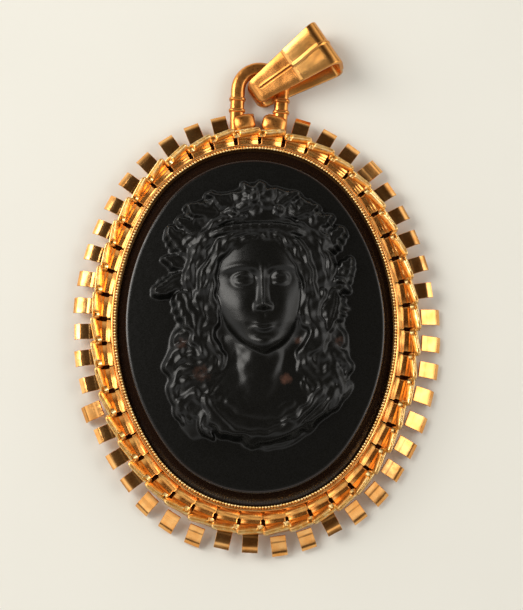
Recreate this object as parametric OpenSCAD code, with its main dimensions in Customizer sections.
// Oval cameo pendant, lying on its back: the face looks up (+Z), the loop points to +Y, and the
// origin is the middle of the oval on the surface it rests on. Millimetres.
// Every line round the oval is four arcs, and lines further out have the same arc centres, so a
// distance outwards from the opening's edge is called an offset here.

/* [Opening] */
// Width of the opening that shows the glass
opening_w = 28.3; // [27:0.1:31]
// Height of the opening
opening_h = 36.9; // [35:0.1:40]
// Radius of the opening's upper and lower ends
end_r = 12.3; // [11.5:0.1:12.9]

/* [Glass] */
// How far the glass reaches under the lip
cover = 0.12; // [0.05:0.01:0.2]
// Gap between the edge of the glass and the bezel wall
glass_gap = 0.08; // [0.05:0.01:0.2]
// Gap between the back of the glass and the ledge
seat_gap = 0.03; // [0.01:0.01:0.1]
// Height of the upright edge of the glass
girdle_h = 2.95; // [2.5:0.05:3.1]
// Rise of the bevel round the ground
bevel_h = 1.1; // [0.6:0.05:1.5]
// Width of the bevel at the sides
bevel_side = 1.05; // [0.8:0.05:1.5]
// Width of the bevel at the upper and lower ends
bevel_end = 1.35; // [0.8:0.05:1.8]
// Rise of the ground from its edge to its middle
dome_h = 0.3; // [0:0.05:0.6]

/* [Bust] */
// Height of the bust from the wreath to the lower edge of the dress
bust_h = 27; // [22:0.5:29]
// Middle of the bust to the right of the middle of the oval
bust_x = 0.4; // [-1:0.1:1]
// Middle of the bust above the middle of the oval
bust_y = 1; // [-0.5:0.1:1.5]
// Height of the relief over the ground at the face, without the nose
relief_h = 2.1; // [1:0.1:3]
// Depth of the hollow in the ground below the bust
hollow_d = 0.35; // [0.1:0.05:0.5]

/* [Bezel] */
// Thickness of the bezel wall
wall_t = 0.38; // [0.3:0.02:0.45]
// Thickness of the lip at the opening's edge
lip_t = 0.26; // [0.2:0.02:0.4]
// Height of the lip over the top of the glass's upright edge
lip_rise = 0.36; // [0.3:0.02:0.5]
// Reach of the bearing ledge inside the opening's edge
ledge_w = 1.1; // [0.6:0.1:2]
// Thickness of the bearing ledge
ledge_t = 0.6; // [0.4:0.05:0.8]

/* [Border] */
// Number of slotted units round the oval
unit_count = 45; // [40:1:50]
// Place of the first unit clockwise from the top, as a share of the spacing
unit_start = 0.88; // [0:0.02:1]
// Slit between neighbouring channel plates
slit_w = 0.42; // [0.3:0.02:0.6]
// Width of the channel, from the bezel wall to the ridge
channel_w = 1.4; // [1.2:0.05:1.6]
// Height of the channel plates above the surface
channel_z = 1.95; // [1.8:0.05:2]
// Sag of a channel plate in its middle
channel_sag = 0.3; // [0.1:0.05:0.5]
// Thickness of the sheet of the plates and tabs
sheet_t = 0.24; // [0.18:0.02:0.3]
// Width of a fold of the ridge
fold_w = 0.5; // [0.4:0.02:0.6]
// Height of the ridge's top above the surface
ridge_z = 2.3; // [2.26:0.02:2.6]
// Turn of each fold out of the line of the ridge, degrees
fold_turn = 7; // [4:0.5:9]
// Rise of each fold along its length, so that one end lies over its neighbour, degrees
fold_tip = 2; // [1:0.5:3]
// How far neighbouring folds lie beside each other
fold_lap = 0.2; // [0.1:0.05:0.5]
// Thickness of the plain outer wall below the ridge
outer_wall_t = 0.3; // [0.24:0.02:0.4]
// Width of a tab
tab_w = 1.6; // [1.2:0.05:1.8]
// Reach of the tabs outside the ridge's middle
tab_reach = 2.18; // [1.9:0.02:2.5]
// Height of the flat of the tabs above the surface
tab_z = 1.76; // [1.6:0.02:1.84]
// Drop of the bent outer end of a tab
tab_drop = 0.3; // [0.1:0.02:0.5]
// Height of the curled base of a tab over its flat
curl_h = 0.22; // [0.1:0.02:0.3]

/* [Loop] */
// Inner radius of the arch
arch_r = 1.55; // [1.5:0.05:1.8]
// Width of the arch's bar, seen from the front
arch_w = 1.45; // [1.2:0.05:1.6]
// Thickness of the arch's bar, front to back
arch_t = 1.1; // [0.9:0.05:1.2]
// Bevel along the edges of the bar
arch_bevel = 0.2; // [0.1:0.02:0.3]
// Middle of the arch outside the opening's edge
arch_rise = 6.85; // [6.6:0.05:7.2]
// How far the arch stands to the left of the middle between its two units
arch_left = 0.2; // [0:0.05:0.4]
// Distance between the two collars of a leg
collar_gap = 1.2; // [1:0.05:1.4]
// Height of a collar over the bar
collar_h = 0.12; // [0.08:0.01:0.16]
// Length of a collar along the leg
collar_l = 0.3; // [0.2:0.05:0.4]
// Width of a foot, narrower than the bar
foot_w = 1.25; // [1:0.05:1.4]

/* [Bail] */
// Length of the bail
bail_l = 9.45; // [8.5:0.05:10.5]
// Gap between the bail's round lower end and the inside of the arch
nose_gap = 0.19; // [0.14:0.01:0.3]
// Width of the bail at its upper fold
bail_top_w = 5.1; // [4:0.1:6]
// Thickness of the strap
strap_t = 0.32; // [0.26:0.02:0.36]
// Depth of the bail at its upper fold, front to back
bail_d = 4.1; // [3.4:0.1:4.6]
// Outer radius of the lower fold
low_fold_r = 1.12; // [1.06:0.02:1.16]
// Outer radius of the upper folds
top_fold_r = 0.9; // [0.7:0.05:1.2]
// Gap between the back strap and the surface below
bail_lift = 0.08; // [0.04:0.02:0.2]
// How far the lower fold reaches past the middle of the arch
bail_past = 1.07; // [0.9:0.01:1.1]
// Turn of the bail from the arch's own axis to the right, degrees
bail_turn = 54; // [0:1:70]
// Distance of the step across the front from the lower fold, as a share of the length
step_place = 0.54; // [0.45:0.01:0.6]
// Height of the step over the lower half
step_h = 0.12; // [0.06:0.01:0.2]
// Width of the band along the step
band_w = 0.45; // [0.3:0.05:0.7]
// Height of the band and the rib over the upper half
rib_h = 0.12; // [0.06:0.01:0.2]
// Width of the rib
rib_w = 0.42; // [0.3:0.02:0.6]

/* [Hidden] */
$fn = 96;

gold = [0.86, 0.62, 0.22];
black_glass = [0.09, 0.09, 0.1];

// The four arcs of the opening's edge: two end arcs, two side arcs, touching at the turn angle
half_w = opening_w / 2;
half_h = opening_h / 2;
end_y = half_h - end_r;
side_r = (half_w * half_w + end_y * end_y - end_r * end_r) / (2 * (half_w - end_r));
side_x = side_r - half_w;
turn = atan2(end_y, side_x);

// Offsets of the walls and the border, from the opening's edge outwards
girdle_o = cover;
wall_in = girdle_o + glass_gap;
wall_out = wall_in + wall_t;
ridge_o = wall_out + channel_w + fold_w / 2;
outer_wall_in = ridge_o - outer_wall_t / 2;
tab_out = ridge_o + tab_reach;

// Heights of the glass and the lip
back_z = ledge_t + seat_gap;
girdle_z = back_z + girdle_h;
ground_z = girdle_z + bevel_h;
lip_z = girdle_z + lip_rise;
rim_z = lip_z + lip_t;

// Spacing of the units, measured along the ridge
end_len = (end_r + ridge_o) * (90 - turn) * PI / 180;
side_len = (side_r + ridge_o) * turn * PI / 180;
quarter_len = end_len + side_len;
pitch = 4 * quarter_len / unit_count;
plate_l = pitch * (end_r + wall_out) / (end_r + ridge_o) - slit_w;
fold_l = pitch + fold_lap;

oval_sides = 120;

arch_mid = arch_r + arch_w / 2;
arch_z = bail_lift + low_fold_r;
bail_low_x = low_fold_r - bail_past;
nose_r = arch_r - nose_gap;
bail_top_x = bail_l - bail_past;
step_x = step_place * bail_l - bail_past;

// The normal's angle in the first quarter, a length v clockwise from the top
function first_normal(v) =
    v < end_len
    ? 90 - v / (end_r + ridge_o) * 180 / PI
    : turn - (v - end_len) / (side_r + ridge_o) * 180 / PI;

// The point of the opening's edge with that normal, in the first quarter
function first_point(v) =
    let (n = first_normal(v))
    v < end_len
    ? [end_r * cos(n), end_y + end_r * sin(n)]
    : [side_r * cos(n) - side_x, side_r * sin(n)];

// Point and normal's angle a length s clockwise from the top, for any s
function spot(s) =
    let (
        part = s / quarter_len,
        quarter = floor(part) - 4 * floor(part / 4),
        rest = s - floor(part) * quarter_len,
        v = quarter % 2 == 0 ? rest : quarter_len - rest,
        p = first_point(v),
        n = first_normal(v)
    )
    quarter == 0 ? [p.x, p.y, n]
    : quarter == 1 ? [p.x, -p.y, -n]
    : quarter == 2 ? [-p.x, -p.y, 180 + n]
    : [-p.x, p.y, 180 - n];

// Places its children at a spot, with +Y along the outward normal
module at_spot(s) {
    here = spot(s);
    translate([here.x, here.y, 0])
        rotate([0, 0, here[2] - 90])
            children();
}

// Outline a given offset outside the opening's edge, with the same normals at every offset
function oval_outline(offset) = [
    for (i = [0:oval_sides - 1])
        let (p = spot(4 * quarter_len * i / oval_sides))
        [p.x + offset * cos(p[2]), p.y + offset * sin(p[2])]
];

// Upright ring between two offsets and two heights
module oval_ring(inner, outer, low, high) {
    translate([0, 0, low])
        linear_extrude(high - low)
            difference() {
                polygon(oval_outline(outer));
                polygon(oval_outline(inner));
            }
}

// Turns a section drawn as offset and height into a bar of a given length across the offset
module across(length) {
    rotate([90, 0, 90])
        translate([0, 0, -length / 2])
            linear_extrude(length)
                children();
}

// Distance from the oval's middle to its edge in the direction a, for half sizes w and h and end radius r
function edge_distance(a, w, h, r) =
    let (
        ey = h - r,
        sr = (w * w + ey * ey - r * r) / (2 * (w - r)),
        sx = sr - w,
        c = abs(cos(a)),
        s = abs(sin(a)),
        corner = atan2(ey + r * sin(atan2(ey, sx)), r * cos(atan2(ey, sx)))
    )
    atan2(s, c) > corner
    ? ey * s + sqrt(r * r - ey * ey * c * c)
    : -sx * c + sqrt(sr * sr - sx * sx * s * s);

// Half sizes of the ground, and the glass's outline under the lip
ground_w = half_w - bevel_side;
ground_h = half_h - bevel_end;
ground_r = end_r - (bevel_side + bevel_end) / 2;
glass_w = half_w + girdle_o;
glass_h = half_h + girdle_o;
glass_r = end_r + girdle_o;

// Grid of the relief: rays from the middle of the face, and steps along each ray
rays = 96;
steps = 38;
face_at = [0.006, 0.085] * bust_h + [bust_x, bust_y];

// Masses of the bust. Columns: middle x and y, half length, half width, turn in degrees, height.
// Lengths are shares of the bust's height, measured from its middle, and heights shares of the
// relief. The highest mass wins at each point.
masses = [
    // head and jaw
    [0.006, 0.160, 0.215, 0.180, 90, 1.00],
    [0.006, 0.050, 0.185, 0.150, 90, 0.97],
    // neck, chest and shoulders
    [0.012, -0.250, 0.200, 0.105, 88, 0.55],
    [0.000, -0.365, 0.330, 0.140, 2, 0.50],
    [-0.200, -0.330, 0.140, 0.085, 20, 0.52],
    [0.210, -0.290, 0.140, 0.090, -28, 0.52],
    // hair over the forehead and at the temples
    [-0.110, 0.330, 0.185, 0.085, 24, 0.80],
    [0.130, 0.330, 0.185, 0.085, -24, 0.80],
    [-0.215, 0.210, 0.150, 0.075, 74, 0.72],
    [0.230, 0.200, 0.150, 0.070, -74, 0.72],
    // diadem band and wreath
    [0.008, 0.322, 0.200, 0.022, 0, 1.00],
    [-0.110, 0.400, 0.120, 0.050, 22, 0.85],
    [0.120, 0.400, 0.120, 0.050, -22, 0.85],
    [0.005, 0.450, 0.105, 0.050, 0, 1.00],
    // flowers of the rosette
    [-0.060, 0.445, 0.042, 0.038, 0, 1.12],
    [0.005, 0.462, 0.044, 0.038, 0, 1.18],
    [0.068, 0.447, 0.042, 0.036, 0, 1.12],
    // leaves and grapes, left
    [-0.275, 0.330, 0.080, 0.036, 98, 0.60],
    [-0.235, 0.270, 0.070, 0.038, 60, 0.85],
    [-0.345, 0.115, 0.058, 0.044, 20, 0.55],
    [-0.270, 0.130, 0.055, 0.040, 70, 0.78],
    [-0.278, 0.005, 0.075, 0.036, 118, 0.45],
    // leaves and grapes, right
    [0.300, 0.255, 0.070, 0.032, 80, 0.60],
    [0.255, 0.290, 0.060, 0.036, 110, 0.85],
    [0.300, 0.150, 0.042, 0.040, 0, 0.78],
    [0.330, 0.105, 0.042, 0.036, 0, 0.66],
    [0.275, 0.100, 0.045, 0.036, 70, 0.80],
    [0.270, 0.010, 0.060, 0.034, 75, 0.50],
    // locks on the left shoulder
    [-0.215, -0.050, 0.095, 0.046, 72, 0.62],
    [-0.285, -0.120, 0.085, 0.046, 110, 0.60],
    [-0.225, -0.190, 0.085, 0.046, 60, 0.66],
    [-0.300, -0.240, 0.080, 0.044, 105, 0.52],
    [-0.235, -0.315, 0.085, 0.044, 75, 0.62],
    [-0.310, -0.335, 0.070, 0.038, 80, 0.44],
    // locks on the right shoulder
    [0.225, -0.045, 0.090, 0.042, 100, 0.60],
    [0.270, -0.130, 0.080, 0.044, 70, 0.58],
    [0.220, -0.205, 0.080, 0.044, 115, 0.64],
    [0.285, -0.250, 0.075, 0.040, 80, 0.50],
    [0.240, -0.315, 0.075, 0.042, 100, 0.60],
];

// Smooth hills and dents on the masses. Columns as above; a dent's height is negative.
forms = [
    // nose: bridge, back and tip with its wings
    [0.006, 0.130, 0.110, 0.024, 90, 0.16],
    [0.006, 0.070, 0.075, 0.030, 90, 0.22],
    [0.006, 0.038, 0.030, 0.040, 0, 0.14],
    // eye sockets and eyes
    [-0.080, 0.135, 0.062, 0.040, 0, -0.26],
    [0.092, 0.135, 0.062, 0.040, 0, -0.26],
    [-0.078, 0.132, 0.040, 0.022, 0, 0.17],
    [0.090, 0.132, 0.040, 0.022, 0, 0.17],
    // brows, cheeks, mouth and chin
    [-0.080, 0.182, 0.070, 0.022, 6, 0.07],
    [0.092, 0.182, 0.070, 0.022, -6, 0.07],
    [-0.090, 0.050, 0.060, 0.055, 0, 0.06],
    [0.102, 0.050, 0.060, 0.055, 0, 0.06],
    [0.006, -0.014, 0.048, 0.015, 0, 0.09],
    [0.006, -0.038, 0.042, 0.015, 0, 0.10],
    [0.006, -0.062, 0.045, 0.016, 0, -0.07],
    [0.006, -0.095, 0.045, 0.034, 0, 0.10],
    // folds of the dress
    [-0.110, -0.400, 0.200, 0.022, -14, 0.10],
    [0.130, -0.385, 0.190, 0.022, 24, 0.12],
    [0.190, -0.350, 0.150, 0.018, 34, 0.10],
    [-0.020, -0.440, 0.230, 0.022, 4, 0.10],
];

// Hollow in the ground below the bust, in the same columns, its height a share of the hollow's depth
hollow = [0.000, -0.455, 0.270, 0.085, 3, -1.00];

function lobe_share(p, lobe) =
    let (
        x = p.x - lobe[0] * bust_h,
        y = p.y - lobe[1] * bust_h,
        a = lobe[2] * bust_h,
        b = lobe[3] * bust_h
    )
    abs(x) > a && abs(x) > b || abs(y) > a && abs(y) > b
    ? 0
    : let (
        u = (x * cos(lobe[4]) + y * sin(lobe[4])) / a,
        v = (y * cos(lobe[4]) - x * sin(lobe[4])) / b
    )
    max(0, 1 - u * u - v * v);

// A mass is flat on top and steep at its edge, a form is smooth all over
function mass_height(p) = max([for (m = masses) let (q = lobe_share(p, m)) m[5] * q * (2 - q)]);
function form_height(p) = sum([for (f = forms) let (q = lobe_share(p, f)) f[5] * q * q]);
function hollow_depth(p) = let (q = lobe_share(p, hollow)) hollow[5] * q * (2 - q) * hollow_d;

function sum(list, from = 0) =
    from >= len(list) ? 0 : list[from] + sum(list, from + 1);

function dome(p) =
    dome_h * max(0, 1 - pow(p.x / ground_w, 2) - pow(p.y / ground_h, 2));

function relief(p) =
    let (
        q = p - [bust_x, bust_y],
        mass = mass_height(q),
        shown = min(1, mass * 4)
    )
    ground_z + dome(p)
    + (mass > 0.02 ? relief_h * (mass + shown * form_height(q)) : hollow_depth(q));

function ring_point(a, w, h, r) = edge_distance(a, w, h, r) * [cos(a), sin(a)];

// Pressed glass: rays of points over the ground and the bust, the bevel, the edge and the back
module cameo() {
    angles = [for (i = [0:rays - 1]) 360 * i / rays];
    edge = [for (a = angles) ring_point(a, ground_w, ground_h, ground_r)];
    girdle = [for (a = angles) ring_point(a, glass_w, glass_h, glass_r)];
    top = [
        for (k = [1:steps])
            for (e = edge)
                let (p = face_at + (e - face_at) * k / steps)
                [p.x, p.y, k == steps ? ground_z : relief(p)]
    ];
    sides = [
        for (z = [girdle_z, back_z])
            for (g = girdle)
                [g.x, g.y, z]
    ];
    points = concat([[face_at.x, face_at.y, relief(face_at)]], top, sides);
    rings = steps + 2;
    faces = concat(
        [for (i = [0:rays - 1]) [0, 1 + (i + 1) % rays, 1 + i]],
        [
            for (k = [0:rings - 2])
                for (i = [0:rays - 1])
                    let (
                        a = 1 + k * rays + i,
                        b = 1 + k * rays + (i + 1) % rays,
                        c = a + rays,
                        d = b + rays
                    )
                    each [[a, b, d], [a, d, c]]
        ],
        [[for (i = [0:rays - 1]) 1 + (rings - 1) * rays + i]]
    );
    color(black_glass)
        polyhedron(points, faces);
}

// Bezel: bearing ledge, wall, and the lip that is turned in over the glass and rounded in steps
lip_steps = 3;
module bezel() {
    step = lip_t / lip_steps;
    oval_ring(-ledge_w, wall_out, 0, ledge_t);
    oval_ring(wall_in, wall_out, ledge_t / 2, lip_z + step / 2);
    for (k = [0:lip_steps - 1])
        let (in_by = step * (1 - cos(90 * k / lip_steps)))
        oval_ring(in_by, wall_out - 1.6 * in_by, lip_z, lip_z + step * (k + 1));
}

// Plain wall that carries the ridge
module outer_wall() {
    oval_ring(outer_wall_in, outer_wall_in + outer_wall_t, 0, ridge_z - fold_w / 2);
}

// Section of a channel plate, sagging between the bezel wall and the ridge
module plate_section() {
    inner = wall_out - wall_t / 2;
    outer = ridge_o;
    cuts = 6;
    top = [
        for (i = [0:cuts])
            [inner + (outer - inner) * i / cuts, channel_z - channel_sag * sin(180 * i / cuts)]
    ];
    polygon(concat(top, [for (i = [cuts:-1:0]) top[i] - [0, sheet_t]]));
}

// Section across a fold of the ridge: a flattened tube standing on the outer wall
module fold_section() {
    low = ridge_z - 1.1 * fold_w;
    cuts = 6;
    polygon(concat(
        [[fold_w / 2, low]],
        [
            for (i = [0:cuts])
                [cos(180 * i / cuts), sin(180 * i / cuts)] * fold_w / 2 + [0, ridge_z - fold_w / 2]
        ],
        [[-fold_w / 2, low]]
    ));
}

// Section of a tab along its length. Columns: distance as a share of the reach, height over the
// flat as a share of the curl's height, drop as a share of the drop at the end.
tab_line = [
    [0.00, 1.0, 0],
    [0.18, 1.0, 0],
    [0.26, 0.7, 0],
    [0.32, 0.0, 0],
    [0.72, 0.0, 0],
    [0.84, 0.0, 0.25],
    [0.93, 0.0, 0.60],
    [1.00, 0.0, 1.00],
];
module tab_section() {
    top = [
        for (t = tab_line)
            [ridge_o + t[0] * tab_reach, tab_z + t[1] * curl_h - t[2] * tab_drop]
    ];
    last = len(top) - 1;
    polygon(concat(top, [for (i = [last:-1:0]) top[i] - [0, sheet_t]]));
}

// One unit of the border: channel plate, fold of the ridge and tab
module unit() {
    across(plate_l)
        plate_section();
    translate([0, ridge_o, ridge_z])
        rotate([0, fold_tip, fold_turn])
            translate([0, 0, -ridge_z])
                across(fold_l)
                    fold_section();
    across(tab_w)
        tab_section();
}

// Section across the arch's bar
module bar_section(w, t, bevel) {
    polygon([
        [-w / 2 + bevel, -t / 2],
        [w / 2 - bevel, -t / 2],
        [w / 2, -t / 2 + bevel],
        [w / 2, t / 2 - bevel],
        [w / 2 - bevel, t / 2],
        [-w / 2 + bevel, t / 2],
        [-w / 2, t / 2 - bevel],
        [-w / 2, -t / 2 + bevel],
    ]);
}

// A straight bar that hangs from y = 0 down to y = -length
module leg_bar(w, t, length) {
    rotate([90, 0, 0])
        linear_extrude(length)
            bar_section(w, t, arch_bevel);
}

// Hanging loop, drawn with the middle of its arch at the origin
module loop() {
    leg_l = arch_rise - tab_out;
    rotate_extrude(angle = 180)
        translate([arch_mid, 0])
            bar_section(arch_w, arch_t, arch_bevel);
    for (side = [-1, 1])
        let (
            aside = side * arch_mid - arch_left,
            foot_l = arch_rise - ridge_o + aside * aside / (2 * (end_r + ridge_o))
        )
        translate([side * arch_mid, 0, 0]) {
            leg_bar(arch_w, arch_t, leg_l);
            for (y = [leg_l - collar_l, leg_l - collar_l - collar_gap])
                translate([0, -y, 0])
                    leg_bar(arch_w + collar_h, arch_t + 2 * collar_h, collar_l);
            leg_bar(foot_w, arch_t - collar_h, foot_l);
        }
}

// Frame of the arch, which stands astride the middle between the last unit and the first
loop_s = pitch * (unit_start - 0.5);
module at_arch() {
    at_spot(loop_s)
        translate([-arch_left, arch_rise, arch_z])
            children();
}

// Bezel, border and hanging loop, soldered together
module setting() {
    color(gold) {
        bezel();
        outer_wall();
        for (i = [0:unit_count - 1])
            at_spot(pitch * (unit_start + i))
                unit();
        at_arch()
            loop();
    }
}

// Outline round circles, given anticlockwise as x, z and radius, with every radius grown by extra
function tangent_angle(a, b) =
    let (d = b - a)
    atan2(d.y, d.x) - acos((a[2] - b[2]) / norm([d.x, d.y]));
function wrapped_outline(circles, extra) =
    let (count = len(circles), cuts = 10)
    [
        for (i = [0:count - 1])
            let (
                c = circles[i],
                from = tangent_angle(circles[(i + count - 1) % count], c),
                to = tangent_angle(c, circles[(i + 1) % count]),
                sweep = (to - from) - 360 * floor((to - from) / 360)
            )
            for (k = [0:cuts])
                let (a = from + sweep * k / cuts)
                [c.x + (c[2] + extra) * cos(a), c.y + (c[2] + extra) * sin(a)]
    ];

// The folds of the bail, seen from its side: lower fold, upper back fold, upper front fold
bail_folds = [
    [bail_low_x, 0, low_fold_r],
    [bail_top_x - top_fold_r, top_fold_r - low_fold_r, top_fold_r],
    [bail_top_x - top_fold_r, bail_d - low_fold_r - top_fold_r, top_fold_r],
];

// A strap of the given width that follows the folds, from extra inside to extra outside
module wrapped_strap(width, inside, outside) {
    rotate([90, 0, 0])
        translate([0, 0, -width / 2])
            linear_extrude(width)
                difference() {
                    polygon(wrapped_outline(bail_folds, outside));
                    polygon(wrapped_outline(bail_folds, inside));
                }
}

// Seen from the front the bail narrows downwards, and its lower end is round
module bail_front(wider) {
    top = bail_top_w / 2 + wider;
    polygon(concat(
        [for (a = [90:15:270]) (nose_r + wider) * [cos(a), sin(a)]],
        [[bail_top_x, -top], [bail_top_x + 1, -top], [bail_top_x + 1, top], [bail_top_x, top]]
    ));
}

// A piece of the strap's front, between two distances along the bail
module front_piece(from_x, to_x, outside, wider) {
    intersection() {
        wrapped_strap(bail_top_w + 2, -strap_t / 2, outside);
        linear_extrude(bail_d)
            bail_front(wider);
        translate([from_x, -bail_top_w, 0])
            cube([to_x - from_x, 2 * bail_top_w, bail_d]);
    }
}

// Folded bail, drawn with the middle of the arch at the origin and its length along +X
module bail_body() {
    over_top = bail_top_x + 1;
    intersection() {
        wrapped_strap(bail_top_w + 2, -strap_t, 0);
        translate([0, 0, -bail_d])
            linear_extrude(2 * bail_d)
                bail_front(0);
    }
    front_piece(step_x, over_top, step_h, 0);
    front_piece(step_x - band_w / 2, step_x + band_w / 2, step_h + rib_h, step_h / 2);
    intersection() {
        wrapped_strap(rib_w, -strap_t / 2, step_h + rib_h);
        translate([step_x, -rib_w, 0])
            cube([over_top - step_x, 2 * rib_w, bail_d]);
    }
}

module bail() {
    color(gold)
        at_arch()
            rotate([0, 0, 90 - bail_turn])
                bail_body();
}

cameo();
setting();
bail();
